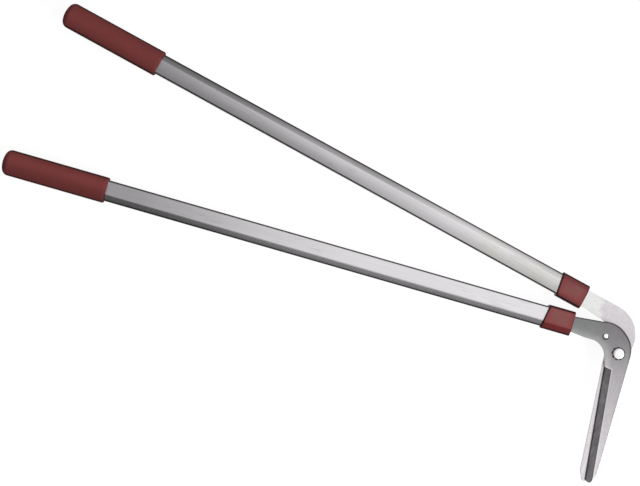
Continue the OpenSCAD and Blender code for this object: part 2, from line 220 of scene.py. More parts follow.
def sides_of(corners, i):
    """A corner's spot, the ways back and ahead from it, and half the angle between them."""
    spot, before, after = (
        Vector(at[:2]) for at in (corners[i], corners[i - 1], corners[(i + 1) % len(corners)])
    )
    back, ahead = (before - spot).normalized(), (after - spot).normalized()
    return spot, back, ahead, back.angle(ahead) / 2


def corner_points(corners, i, steps):
    spot, back, ahead, half = sides_of(corners, i)
    r = corners[i][2]
    centre = spot + (back + ahead).normalized() * r / math.sin(half)
    run = r / math.tan(half)
    start = spot + back * run - centre
    end = spot + ahead * run - centre
    first = math.atan2(start.y, start.x)
    turn = math.atan2(end.y, end.x) - first
    turn = (turn + math.pi) % (2 * math.pi) - math.pi
    turns = [first + turn * i / steps for i in range(steps + 1)]
    return [centre + r * Vector((math.cos(a), math.sin(a))) for a in turns]


def rounded(corners, steps=10):
    points = []
    for i, at in enumerate(corners):
        if at[2] > 0:
            points += corner_points(corners, i, steps)
        else:
            points.append(Vector(at[:2]))
    return points


def grown(corners, d):
    """The outline moved outwards by d. Its corners stay in order, so rings of it join up."""
    least_round = 0.0004
    moved = []
    for i, at in enumerate(corners):
        spot, back, ahead, half = sides_of(corners, i)
        spot -= (back + ahead).normalized() * d / math.sin(half)
        moved.append((spot.x, spot.y, max(at[2] + d, least_round)))
    return moved


def tube_corners(sizes):
    w, h, facet, drop = sizes.tube_w / 2, sizes.tube_d / 2, sizes.facet_w, sizes.facet_drop
    return [
        (-w, -h, sizes.inner_round),
        (w - facet, -h, sizes.crease_round),
        (w, -h + drop, sizes.outer_round),
        (w, h - drop, sizes.outer_round),
        (w - facet, h, sizes.crease_round),
        (-w, h, sizes.inner_round),
    ]


def ray_to(outline, angle, origin=(0.0, 0.0)):
    """Where a ray from the origin meets a closed outline round it."""
    o, d = Vector(origin), Vector((math.cos(angle), math.sin(angle)))
    best = 0.0
    for i, a in enumerate(outline):
        b = outline[(i + 1) % len(outline)]
        side = b - a
        cross = d.x * side.y - d.y * side.x
        if abs(cross) < 1e-15:
            continue
        gap = a - o
        along = (gap.x * side.y - gap.y * side.x) / cross
        part = (gap.x * d.y - gap.y * d.x) / cross
        if along > 0 and -1e-9 <= part <= 1 + 1e-9:
            best = max(best, along)
    return o + d * best


# ---- Places ----


class Place:
    """A local frame: flip, then turn about Z, then shift gives local from row coordinates."""

    def __init__(self, flip, turn, shift):
        self.flip, self.turn, self.shift = Vector(flip), turn, Vector(shift)

    def swing(self, p, angle):
        c, s = math.cos(angle), math.sin(angle)
        return Vector((c * p.x - s * p.y, s * p.x + c * p.y, p.z))

    def to_row(self, x, y, z):
        return self.swing(Vector((x, y, z)) - self.shift, -self.turn) * self.flip

    def from_row(self, p):
        return self.swing(p * self.flip, self.turn) + self.shift


def upright(height):
    """The row's own directions, from a spot at that height on the bolt's axis."""
    return Place((1, 1, 1), 0.0, (0, 0, -height))


def handle_place(half):
    """x runs from the collar's front towards the grip, y to the handle's outer side."""
    s = chosen("handle")
    if half == "lower":
        return Place((1, 1, 1), math.pi - HALF_ANGLE, (-s.near_reach, s.near_offset, -LIE_H))
    return Place((1, -1, 1), math.pi - HALF_ANGLE, (-s.far_reach, -s.far_offset, -LIE_H))


def blade_place(blade):
    """The pivot at the origin and the blade towards -Y, with its back edge on +X."""
    if blade == "near":
        return Place((1, 1, 1), -HALF_ANGLE, (0, 0, -LIE_H))
    return Place((-1, 1, -1), chosen("blade").far_splay - HALF_ANGLE, (0, 0, LIE_H))


def from_edge(s, x, y):
    """Distances on a blade: from its heel down the cutting edge, and from that edge."""
    heel = Vector(s.heel)
    run = (Vector(s.tip) - heel).normalized()
    dx, dy = x - heel.x, y - heel.y
    return dx * run.x + dy * run.y, dx * -run.y + dy * run.x


def collar_rear(s, part):
    """Where a collar ends, at a part of its width from the inner side."""
    return s.length + s.skew * part + 4 * s.bulge * part * (1 - part)


# ---- Meshes ----


def add_object(name, data):
    piece = bpy.data.objects.new(name, data)
    bpy.context.scene.collection.objects.link(piece)
    return piece


def applied(piece):
    """A piece's mesh with its modifiers applied."""
    graph = bpy.context.evaluated_depsgraph_get()
    return bpy.data.meshes.new_from_object(piece.evaluated_get(graph))


def make_object(name, bm, material, sharp=25.0):
    """An object with smooth shading, crisp edges and one material."""
    bmesh.ops.recalc_face_normals(bm, faces=bm.faces)
    mesh = bpy.data.meshes.new(name)
    bm.to_mesh(mesh)
    bm.free()
    mesh.polygons.foreach_set("use_smooth", [True] * len(mesh.polygons))
    mesh.set_sharp_from_angle(angle=math.radians(sharp))
    mesh.materials.append(material)
    piece = add_object(name, mesh)
    piece.modifiers.new("even", "WEIGHTED_NORMAL").keep_sharp = True
    piece.data = applied(piece)
    piece.modifiers.clear()
    piece.data.name = name
    return piece


def join_rings(rings, closed):
    """Rings of as many points each, joined in order. A ring of one point is a pole."""
    bm = bmesh.new()
    rows = [[bm.verts.new(p) for p in ring] for ring in rings]
    pairs = list(zip(rows, rows[1:]))
    if closed:
        pairs.append((rows[-1], rows[0]))
    for a, b in pairs:
        n = max(len(a), len(b))
        for i in range(n):
            j = (i + 1) % n
            loop = (a[i % len(a)], a[j % len(a)], b[j % len(b)], b[i % len(b)])
            bm.faces.new(tuple(dict.fromkeys(loop)))
    return bm


def lathe(profile, place, sides):
    """Turns (radius, height) points about the place's Z axis. A radius of 0 is a pole."""
    rings = []
    for r, z in profile:
        turns = [2 * math.pi * i / sides for i in range(sides if r > 0 else 1)]
        rings.append([place.to_row(r * math.cos(a), r * math.sin(a), z) for a in turns])
    return rings


def joined_copy(node):
    """A copy of a CAD solid, with its loose triangles joined into whole faces."""
    bm = bmesh.new()
    bm.from_mesh(frame["nodes"][node].data)
    same, flat = 1e-6, math.radians(0.3)
    bmesh.ops.remove_doubles(bm, verts=bm.verts, dist=same)
    bmesh.ops.dissolve_limit(bm, angle_limit=flat, verts=bm.verts, edges=bm.edges)
    return bm


def soften(bm, width, segments, keep=lambda edge: True):
    """Rounds the edges over 30 degrees that keep() lets through."""
    sharp = math.radians(30)
    edges = [
        e for e in bm.edges
        if len(e.link_faces) == 2 and e.calc_face_angle(0) > sharp and keep(e)
    ]
    bmesh.ops.bevel(bm, geom=edges, offset=width, segments=segments, profile=0.5, affect="EDGES")


def seat(piece, body, slot, *nodes):
    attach(piece, body)
    if nodes:
        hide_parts(*nodes)


def repaint(node, material):
    mesh = frame["nodes"][node].data
    mesh.materials.clear()
    mesh.materials.append(material)


# ---- Nodes ----


def linear(value):
    """A picked tone as the shader's own number."""
    return value / 12.92 if value <= 0.04045 else ((value + 0.055) / 1.055) ** 2.4


def paint(name):
    """The same for a chosen colour."""
    return tuple(linear(v) for v in getattr(chosen("finish"), name)) + (1.0,)


class Signal:
    """A node's output that works in plain arithmetic."""

    def __init__(self, nodes, socket):
        self.nodes, self.socket = nodes, socket

    def sum(self, operation, *terms):
        return self.nodes.add("ShaderNodeMath", *terms, operation=operation)

    def __add__(self, other):
        return self.sum("ADD", self, other)

    __radd__ = __add__

    def __sub__(self, other):
        return self.sum("SUBTRACT", self, other)

    def __rsub__(self, other):
        return self.sum("SUBTRACT", other, self)

    def __mul__(self, other):
        return self.sum("MULTIPLY", self, other)

    __rmul__ = __mul__

    def __truediv__(self, other):
        return self.sum("DIVIDE", self, other)

    def __rtruediv__(self, other):
        return self.sum("DIVIDE", other, self)

    def size(self):
        return self.sum("ABSOLUTE", self)

    def least(self, other):
        return self.sum("MINIMUM", self, other)

    def most(self, other):
        return self.sum("MAXIMUM", self, other)

    def root(self):
        return self.sum("SQRT", self)

    def rise(self, start, end):
        """0 before start and 1 after end, smoothly. With end below start it falls."""
        if end < start:
            return 1 - self.rise(end, start)
        return self.nodes.add(
            "ShaderNodeMapRange", self, start, end, 0.0, 1.0, interpolation_type="SMOOTHSTEP"
        )

    def ramp(self, start, end):
        """The same between two places in millimetres."""
        return self.rise(start * MM, end * MM)

    def band(self, start, full, fade, end):
        """1 from full to fade and 0 outside start and end, in millimetres."""
        return self.ramp(start, full) * self.ramp(end, fade)


def apart(dx, dy):
    """A distance from its two parts."""
    return (dx * dx + dy * dy).root()


def uneven(level, *layers):
    """A level that noises move up and down, each by its own strength."""
    for noise, strength in layers:
        level = level + (noise - 0.5) * strength
    return level


def shaded(tone, *marks):
    """A tone made darker at each mark by its share. A share below 0 makes it lighter."""
    for mark, share in marks:
        tone = tone * (1 - share * mark)
    return tone


class Nodes:
    """A node tree, built node by node."""

    def __init__(self, tree):
        self.tree = tree
        tree.nodes.clear()

    def add(self, kind, *values, out="", **named):
        """A node of a kind, with values or signals for its sockets by place or by name.

        Names in lower case are the node's own settings, which are set first.
        The signal is its first output, or the one that out names.
        """
        node = self.tree.nodes.new(kind)
        for key in [key for key in named if key.islower()]:
            setattr(node, key, named.pop(key))
        sockets = [s for s in node.inputs if s.enabled]
        pairs = list(zip(sockets, values))
        for key, value in named.items():
            pairs.append((next(s for s in sockets if s.name.replace(" ", "_") == key), value))
        for socket, value in pairs:
            for one in value if isinstance(value, list) else [value]:
                if isinstance(one, Signal):
                    self.tree.links.new(one.socket, socket)
                else:
                    socket.default_value = one
        outputs = [s for s in node.outputs if s.enabled and out in ("", s.name)]
        return Signal(self, outputs[0]) if outputs else None

    def split(self, vector):
        node = self.add("ShaderNodeSeparateXYZ", vector).socket.node
        return [Signal(self, s) for s in node.outputs]

    def vector(self, x, y, z):
        return self.add("ShaderNodeCombineXYZ", x, y, z)


class Finish(Nodes):
    """A material's nodes: here is the spot in a local frame, and spot holds its x, y and z."""

    def __init__(self, name, place=None):
        self.material = bpy.data.materials.new(name)
        self.material.use_nodes = True
        super().__init__(self.material.node_tree)
        if place:
            self.here = self.add(
                "ShaderNodeMapping", self.add("ShaderNodeTexCoord", out="Object"),
                place.shift, (0.0, 0.0, place.turn), place.flip, vector_type="POINT"
            )
            self.spot = self.split(self.here)

    def noise(self, x, y, z, on=None, detail=2.0, rough=0.5):
        """Noise about 0.5, with that many spots a metre along each axis."""
        scaled = self.add("ShaderNodeVectorMath", on or self.here, (x, y, z), operation="MULTIPLY")
        return self.add("ShaderNodeTexNoise", scaled, Scale=1.0, Detail=detail, Roughness=rough)

    def beside(self, x, y, chain, depth):
        """Distance outside a chain of corners in millimetres, rounded to that depth."""
        spots, depth = [Vector(at) * MM for at in chain], depth * MM
        sides = [Vector((b.y - a.y, a.x - b.x)).normalized() for a, b in zip(spots, spots[1:])]
        moved = [
            at + (m + n) * depth / (1 + m.dot(n))
            for at, m, n in zip(spots, sides[:1] + sides, sides + sides[-1:])
        ]
        nearest = None
        for a, b in zip(moved, moved[1:]):
            run = (b - a).normalized()
            along = ((x - a.x) * run.x + (y - a.y) * run.y).most(0.0).least((b - a).length)
            gap = apart(x - a.x - along * run.x, y - a.y - along * run.y)
            nearest = gap if nearest is None else nearest.least(gap)
        return nearest - depth

    def mix(self, part, a, b, blend="MIX"):
        return self.add("ShaderNodeMix", part, a, b, data_type="RGBA", blend_type=blend)

    def tint(self, base, tone):
        """A colour times a tone."""
        grey = self.add("ShaderNodeCombineColor", tone, tone, tone)
        return self.mix(1.0, base, grey, "MULTIPLY")

    def bump(self, height, depth, strength):
        """Small hollows, with their depth in millimetres."""
        return self.add("ShaderNodeBump", Strength=strength, Distance=depth * MM, Height=height)

    def close(self, base, rough, normal, metal=0.0, **fixed):
        """The surface. Values in fixed are the same all over it."""
        shader = self.add(
            "ShaderNodeBsdfPrincipled", Base_Color=base, Roughness=rough, Metallic=metal,
            Normal=normal, **fixed
        )
        self.add("ShaderNodeOutputMaterial", shader)
        return self.material


# ---- Finishes: noises are in spots a metre along each axis ----


# The near blade's outline in millimetres: its upper edge over the shoulder and down the back,
# and its inner edge to the heel
SHOULDER = ((-200, 33.2), (-71.4, 33.2), (-33, 37.2), (-10.9, 41.5), (17.6, 16.3), (17.6, -200))
SHOULDER_ROUND = 36
CROOK = ((-200, 10.8), (-71.4, 10.8), (-52, 8.8), (-23.1, 8.7), (-13.4, -22.9))
CROOK_ROUND = 24


def tube_finish(half):
    """Drawn aluminium: fine lengthways lines and scuffs, with painted shade on its facet and along
    its corners, painted light and shade along its length, and a painted highlight by the upper
    tube's crease.
    """
    sizes = chosen("handle")
    f = Finish(half + "_tube_metal", handle_place(half))
    along, side, up = f.spot
    lines = f.noise(12, 1400, 1400, detail=3.0, rough=0.6)
    streaks = f.noise(5, 260, 260)
    clouds = f.noise(22, 45, 45, detail=3.0)
    aslant = f.vector(along + 0.3 * side, side, up)
    scratches = f.noise(32, 380, 380, on=aslant, detail=3.0)
    scuffs = scratches.rise(0.54, 0.68) * clouds.rise(0.42, 0.58)
    tone = uneven(1, (lines, 0.04), (streaks, 0.11), (clouds, 0.06))

    # Distances across the tube, in millimetres: its side, and its outer facet's fold
    edge = sizes.tube_w / 2 / MM
    crease = edge - sizes.facet_w / MM
    # Painted shade: the outer facet darker past its fold, and dark bands along the rounded corners
    # of both sides
    brink_shade = side.ramp(crease + 2.0, crease + 4.0)
    inner = (0 - side).ramp(edge - 2.7, edge - 1.6) * up.size().ramp(4.0, 5.5)
    outer = side.ramp(edge - 2.8, edge - 1.8) * up.size().ramp(1.6, 2.6)
    tone = shaded(tone, (scuffs, 0.11), (brink_shade, 0.2), (inner, 0.88), (outer, 0.85))
    if half == "upper":
        # Painted light and shade on the upper tube: its face darker towards the inner side, its
        # facet darker, a painted highlight beside the crease, and brightness that rises and falls
        # along its length
        face = side.ramp(-14, 5)
        facet = side.ramp(crease - 2.0, crease + 0.8)
        crease_highlight = side.band(crease - 4.2, crease - 2.0, crease - 0.6, crease + 0.6)
        swell = along.band(300, 420, 560, 680)
        facet_shade = 0.08 + 0.42 * along.ramp(170, 370) + 0.18 * along.ramp(400, 620)
        level = 1 + 0.07 * along.band(60, 130, 200, 330) - 0.05 * along.ramp(330, 500)
        tone = tone * level * (0.70 + 0.34 * face + 0.16 * (face - 0.6) * swell)
        tone = shaded(tone, (facet, facet_shade), (crease_highlight, -0.08))
        tarnish = 0.7 * clouds.rise(0.42, 0.66) * along.ramp(400, 280)
        base = f.mix(tarnish, paint("upper_tube"), paint("tube_tarnish"))
    else:
        # Painted shade on the lower tube's facet and at its fold, growing along its length, and
        # painted light and shade that change its brightness along its length
        facet = side.ramp(crease - 2.2, crease - 0.3)
        fold = side.band(crease - 1.8, crease - 0.4, crease + 0.6, crease + 2.0)
        facet_shade = 0.37 + 0.28 * along.ramp(200, 680)
        level = 1 + 0.07 * along.ramp(200, 330) - 0.19 * along.ramp(430, 640)
        tone = shaded(tone * level, (facet, facet_shade), (fold, 0.22))
        base = paint("tube")
    rough = uneven(0.26, (lines, 0.03), (clouds, 0.05))
    return f.close(f.tint(base, tone), rough, f.bump(lines, 0.02, 0.25), metal=1.0)


def plastic_grain(f, scale):
    """A moulding's fine grain, and its wider unevenness."""
    fine = f.noise(scale, scale, scale, detail=3.0, rough=0.6)
    return fine, f.noise(28, 60, 60)


def grip_finish(half):
    """Moulded maroon sleeve, satin, with painted shade along its sides, on its closed end and at
    its open lip, and painted light that sets its brightness.
    """
    sizes = chosen("grip")
    f = Finish(half + "_grip_plastic", handle_place(half))
    along, side, up = f.spot
    fine, wide = plastic_grain(f, 1500)
    r, rim = sizes.radius, (sizes.length - sizes.dome) / MM
    depth, out = along - sizes.start, apart(side, up)
    # Painted shade: dark bands along the sides and a darker closed end
    flank_shade = side.size().rise(0.84 * r, 0.91 * r) * up.rise(-0.35 * r, 0.1 * r)
    end_shade = out.ramp(15.0, 13.2) * (0.7 + 0.3 * out.ramp(3, 10)) * depth.ramp(rim - 5, rim - 3)
    # Painted light: the lower grip lighter towards its inner side, the upper one a little darker
    # all over
    lit = 1.25 - 0.52 * side.rise(-0.75 * r, 0.55 * r) if half == "lower" else 0.96
    tone = uneven(1, (fine, 0.10), (wide, 0.16)) * lit * (1 - (0.76 * flank_shade).most(0.72 * end_shade))
    # Painted shade at the rounded lip of the open end
    tone = shaded(tone, (depth.ramp(2.2, 0.4), 0.38))
    rough = uneven(0.6, (wide, 0.18), (fine, 0.08))
    base = f.tint(paint("grip"), tone)
    return f.close(base, rough, f.bump(fine, 0.06, 0.5), Specular_IOR_Level=0.02)


def collar_finish(half):
    """Moulded maroon collar with a greyer middle, and painted shade on its facet and along its
    rims.
    """
    sizes, handle = chosen("collar"), chosen("handle")
    f = Finish(half + "_collar_plastic", handle_place(half))
    along, side, up = f.spot
    fine, wide = plastic_grain(f, 1500)
    crease = (handle.tube_w / 2 - handle.facet_w) / MM
    # Painted light and shade: the lower collar a little lighter, the upper one darker towards its
    # inner side; the facet takes the darker maroon as painted shade, more on the lower collar
    if half == "lower":
        shade, lean = 1.05, 3.5 * MM
        facet = side.ramp(crease - 0.4, crease + 1.6)
    else:
        shade, lean = 1 - 0.32 * side.ramp(-9, -13.5), -3.0 * MM
        facet = 0.4 * side.ramp(crease + 2.0, crease + 4.6)
    half_w = handle.tube_w / 2 + sizes.fit + sizes.wall
    rear = collar_rear(sizes, (side + half_w) / (2 * half_w)) - along
    # Painted shade along the rims at both ends and along the rounded corners of both sides
    rims = rear.ramp(2.7, 1.7).most(along.ramp(1.3, 0.6))
    edge = half_w / MM
    inner = (0 - side).ramp(edge - 3.1, edge - 2.2) * up.size().ramp(4.5, 6.0)
    outer = side.ramp(edge - 3.1, edge - 2.2) * up.size().ramp(1.8, 2.8)
    middle = along.band(2, 10, 29, 37) * (side + lean).size().ramp(13, 6) * wide.rise(0.2, 0.6)
    base = f.mix(middle, paint("collar"), paint("collar_rub"))
    base = f.mix(facet, base, paint("collar_facet"))
    tone = uneven(1, (fine, 0.10), (wide, 0.12)) * shade
    tone = shaded(tone, (rims.most(inner).most(outer), 0.82))
    rough = uneven(0.45, (wide, 0.16), (fine, 0.08))
    return f.close(f.tint(base, tone), rough, f.bump(fine, 0.06, 0.5), Specular_IOR_Level=0.15)


def blade_finish(blade):
    """Ground plate with a ground bevel. The near plate has painted shade that leaves it brighter
    towards its tip, painted shade along its rims and round its hardware, and a painted highlight
    along its inner edge; both plates have a painted highlight beside the bevel.
    """
    s = chosen("blade")
    f = Finish(blade + "_blade_steel", blade_place(blade))
    x, y, z = f.spot
    down, across = from_edge(s, x, y)
    inside = down * math.cos(s.bevel_slant) - across * math.sin(s.bevel_slant)
    outside = (across - s.bevel_w).most(0 - inside)
    ground = outside.ramp(0.12, -0.12) * (z - s.gap / 2).ramp(0.1, 0.3)
    # A narrow band beside the bevel, where a painted highlight goes
    bevel_highlight = outside.band(-0.1, 0.4, 1.0, 2.6)

    turned = f.vector(down, across, z)
    clouds = f.noise(95, 95, 60, detail=4.0, rough=0.6)
    patches = f.noise(330, 330, 200, detail=3.0, rough=0.6)
    streaks = f.noise(14, 300, 200, on=turned, detail=3.0, rough=0.6)
    fine = f.noise(90, 2600, 900, on=turned)
    tone = uneven(1, (clouds, 0.16), (patches, 0.32), (streaks, 0.07), (fine, 0.05))
    if blade == "near":
        plate = f.mix(x.ramp(-15, -50), paint("near_steel"), paint("near_arm"))
        # Painted shade: the near plate darker from its tip up towards the pivot and its arm
        tone = tone * (1 - 0.4 * y.ramp(-195, 15) - 0.3 * y.ramp(-50, 50))
        # Painted highlight along the inner edge down to the heel
        crook = f.beside(x, y, CROOK, CROOK_ROUND).ramp(13, 0.5) * y.ramp(26, 10)
        # Painted shade: a dark band inside the upper edge and the back, widest round the shoulder
        width = 1.5 * MM + 0.9 * MM * (x.ramp(-22, -4) - 1.2 * y.ramp(4, -14))
        inset = 0 - f.beside(x, y, SHOULDER, SHOULDER_ROUND)
        rim = (inset / width).rise(1.25, 0.75)
        # Painted shadows round the washer and round the stop pin, set towards one side of the pin
        washer = apart(x, y).ramp(10.4, 9.2)
        pin = apart(x - s.stop[0], y - (s.stop[1] - 1.2 * MM)).ramp(5.4, 3.9)
        tone = shaded(tone, (crook, -0.35), (rim, 0.45 + 0.18 * y.ramp(8, 26)))
        tone = shaded(tone, (washer, 0.2), (pin, 0.7))
    else:
        arm_blend = (x + (clouds - 0.5) * (16 * MM)).ramp(30, 40)
        plate = f.mix(arm_blend, paint("far_steel"), paint("far_arm"))
        tone = tone * (1 - 0.14 * y.band(-60, -10, 10, 80))
    # Painted highlight beside the bevel, stronger towards its upper end
    tone = tone * (1 + (0.1 + 0.2 * down.ramp(30, 4)) * bevel_highlight)

    grinding = math.radians(24)
    slope = f.add("ShaderNodeVectorRotate", turned, Angle=grinding, rotation_type="Z_AXIS")
    marks = f.noise(60, 700, 300, on=slope)
    spots = f.noise(70, 160, 100, on=turned, detail=3.0)
    strip_tone = uneven(1, (marks, 0.95), (spots, 0.95)) * (0.72 + 0.28 * down.ramp(4, 26))
    depth = across / s.bevel_w
    strip = f.tint(paint("bevel"), 1 - 0.7 * depth.rise(0.25, 0.08) - 0.3 * depth.rise(0.78, 1.0))
    base = f.mix(ground, f.tint(plate, tone), f.tint(strip, strip_tone))
    rough = uneven(0.34, (streaks, 0.16), (clouds, 0.12))
    height = f.noise(60, 2200, 700, on=turned)
    return f.close(base, rough, f.bump(height, 0.02, 0.5), metal=1.0)


def bright_finish():
    """Plated steel, polished, with faint turning marks."""
    f = Finish("bright_hardware", upright(LIE_H))
    x, y, z = f.spot
    turning = f.noise(2600, 900, 1, on=f.vector(apart(x, y), z, 0.0))
    specks = f.noise(700, 700, 700)
    base = f.tint(paint("bright"), uneven(1, (turning, 0.05), (specks, 0.05)))
    metal = 1 - 0.6 * z.ramp(0.5, 3.0)
    return f.close(base, uneven(0.24, (specks, 0.12)), f.bump(turning, 0.01, 0.4), metal=metal)


def dark_finish():
    """Blackened spring steel, slightly rubbed."""
    f = Finish("dark_hardware", upright(LIE_H))
    rubs = f.noise(420, 420, 420, detail=4.0, rough=0.6)
    base = f.tint(paint("dark"), uneven(1, (rubs, 0.7)))
    return f.close(base, uneven(0.42, (rubs, 0.3)), f.bump(rubs, 0.03, 0.5), metal=1.0)


def inner_finish():
    """Moulded black filling with a fine grain."""
    f = Finish("inner_plastic", upright(LIE_H))
    fine, wide = plastic_grain(f, 1200)
    base = f.tint(paint("inner"), uneven(1, (fine, 0.2), (wide, 0.2)))
    return f.close(base, uneven(0.5, (fine, 0.2)), f.bump(fine, 0.05, 0.5))


# ---- Geometry Nodes ----


class Recipe(Nodes):
    """A Geometry Nodes tree with named inputs and their usual values."""

    def __init__(self, name, **inputs):
        super().__init__(bpy.data.node_groups.new(name, "GeometryNodeTree"))
        ports = self.tree.interface
        ports.new_socket("Geometry", in_out="OUTPUT", socket_type="NodeSocketGeometry")
        kinds = {float: "NodeSocketFloat", int: "NodeSocketInt", type(None): "NodeSocketMaterial"}
        self.inputs = {}
        for label, usual in inputs.items():
            port = ports.new_socket(label, in_out="INPUT", socket_type=kinds[type(usual)])
            if usual is not None:
                port.default_value = usual
            self.inputs[label] = port.identifier
        self.given = self.tree.nodes.new("NodeGroupInput")

    def __getitem__(self, label):
        return Signal(self, self.given.outputs[label])

    def close(self, geometry):
        real = self.add("GeometryNodeRealizeInstances", geometry)
        painted = self.add("GeometryNodeSetMaterial", Geometry=real, Material=self["Material"])
        self.add("NodeGroupOutput", painted)
        return self

    def make(self, name, place, **values):
        """Runs the recipe, and gives its result as a plain mesh in its place."""
        holder = add_object(name, bpy.data.meshes.new(name))
        modifier = holder.modifiers.new("recipe", "NODES")
        modifier.node_group = self.tree
        for label, value in values.items():
            modifier[self.inputs[label]] = value
        bm = bmesh.new()
        bm.from_mesh(applied(holder))
        bpy.data.objects.remove(holder)
        for v in bm.verts:
            v.co = place.to_row(*v.co)
        bmesh.ops.remove_doubles(bm, verts=bm.verts, dist=1e-7)
        return make_object(name, bm, values["Material"])


def toothed_ring():
    """A flat ring with twisted teeth round its outside."""
    r = Recipe(
        "toothed_ring", Inner=0.005, Root=0.0075, Outer=0.0092, Thickness=0.0008, Teeth=9,
        Twist=0.2, Material=None
    )
    inner, root, outer, thick, teeth = (
        r[label] for label in ("Inner", "Root", "Outer", "Thickness", "Teeth")
    )
    path = r.add("GeometryNodeCurvePrimitiveCircle", Resolution=SIDES, Radius=(inner + root) / 2)
    strip = r.add("GeometryNodeCurvePrimitiveQuadrilateral", Width=root - inner, Height=thick)
    ring = r.add("GeometryNodeCurveToMesh", Curve=path, Profile_Curve=strip)
    # A tooth is 1.6 times its reach long, so that its root lies inside the ring
    reach = outer - root
    block = r.add("GeometryNodeMeshCube", r.vector(reach * 1.6, outer * math.pi / teeth, thick))
    twisted = r.add("GeometryNodeTransform", Geometry=block, Rotation=r.vector(r["Twist"], 0, 0))
    spots = r.add(
        "GeometryNodeMeshCircle", Vertices=teeth, Radius=outer - reach * 0.8, fill_type="NONE"
    )
    turn = r.vector(0, 0, r.add("GeometryNodeInputIndex") * (2 * math.pi / teeth))
    crown = r.add("GeometryNodeInstanceOnPoints", Points=spots, Instance=twisted, Rotation=turn)
    return r.close(r.add("GeometryNodeJoinGeometry", [ring, crown]))


def screw_thread():
    """A ridge that winds round a bolt."""
    r = Recipe("screw_thread", Radius=0.005, Ridge=0.00045, Pitch=0.0015, Turns=5.0, Material=None)
    middle = r["Radius"] - r["Ridge"]
    path = r.add(
        "GeometryNodeCurveSpiral", Resolution=48, Rotations=r["Turns"], Start_Radius=middle,
        End_Radius=middle, Height=r["Pitch"] * r["Turns"]
    )
    ridge = r.add("GeometryNodeCurvePrimitiveCircle", Resolution=8, Radius=r["Ridge"])
    return r.close(
        r.add("GeometryNodeCurveToMesh", Curve=path, Profile_Curve=ridge, Fill_Caps=True)
    )


# ---- Operators ----


class SHEARS_OT_blades(bpy.types.Operator):
    """Ground blades with softened rims"""

    bl_idname = "shears.blades"
    bl_label = "Blades"

    def execute(self, context):
        s = chosen("blade")
        edge_w, past_heel = 0.4 * MM, 1 * MM
        for blade, body in (("near", "lower_half"), ("far", "upper_half")):
            place = blade_place(blade)

            def off_edge(edge):
                """False along the cutting edge, which stays keen."""
                spots = [place.from_row(v.co) for v in edge.verts]
                return not all(
                    from_edge(s, p.x, p.y)[1] < edge_w and p.y < s.heel[1] + past_heel
                    for p in spots
                )

            bm = joined_copy(blade + "_blade")
            soften(bm, s.soft_edge, 3, off_edge)
            piece = make_object(blade + "_blade_plate", bm, blade_finish(blade), 12.0)
            seat(piece, body, blade + "_blade_steel", blade + "_blade")
        return {"FINISHED"}


class SHEARS_OT_handles(bpy.types.Operator):
    """Drawn tubes of the two handles"""

    bl_idname = "shears.handles"
    bl_label = "Handle tubes"

    def execute(self, context):
        for half in HALVES:
            bm = joined_copy(half + "_tube")
            piece = make_object(half + "_tube_drawn", bm, tube_finish(half))
            seat(piece, half + "_half", "tube_metal", half + "_tube")
        return {"FINISHED"}


class SHEARS_OT_collars(bpy.types.Operator):
    """Moulded collars where the blades' arms enter the tubes"""

    bl_idname = "shears.collars"
    bl_label = "Collars"

    def execute(self, context):
        s, blade, corners = chosen("collar"), chosen("blade"), tube_corners(chosen("handle"))
        outer = s.fit + s.wall
        half_w = chosen("handle").tube_w / 2 + outer
        bore_rim, slot_rim, rim, steps = 0.2 * MM, 0.3 * MM, s.rim, 5
        for half, level, arm_w in (("lower", 1, s.near_arm_w), ("upper", -1, s.far_arm_w)):
            place = handle_place(half)
            middle = level * (blade.gap + blade.thickness) / 2

            def ring(growth, distance, from_rear=False):
                """The tube's outline grown, at a distance from the collar's front or rear."""
                points = []
                for p in rounded(grown(corners, growth)):
                    rear = collar_rear(s, (p.x + half_w) / (2 * half_w))
                    along = rear - distance if from_rear else distance
                    points.append(place.to_row(along, p.x, p.y))
                return points

            def slot_ring(growth, distance):
                """The slot for the blade's arm, with a point for each of the outline's."""
                w, h = (size / 2 + s.fit + growth for size in (arm_w, blade.thickness))
                signs = ((-1, -1), (1, -1), (1, 1), (-1, 1))
                slot = [Vector((w * i, middle + h * j)) for i, j in signs]
                points = []
                for p in rounded(corners):
                    q = ray_to(slot, math.atan2(p.y - middle, p.x), (0.0, middle))
                    points.append(place.to_row(distance, q.x, q.y))
                return points

            turns = [math.pi / 2 * i / steps for i in range(steps + 1)]
            arc = [(rim * math.sin(a), rim * math.cos(a)) for a in turns]
            rings = [ring(s.fit, s.lip), ring(s.fit, bore_rim, True)]
            rings.append(ring(s.fit + bore_rim, 0.0, True))
            rings += [ring(outer - rim + a, rim - b, True) for a, b in arc]
            rings += [ring(outer - rim + b, rim - a) for a, b in arc]
            rings += [slot_ring(slot_rim, 0.0), slot_ring(0.0, slot_rim), slot_ring(0.0, s.lip)]
            bm = join_rings(rings, True)
            piece = make_object(half + "_collar_moulding", bm, collar_finish(half))
            seat(piece, half + "_half", "collar_plastic", half + "_collar")
        return {"FINISHED"}


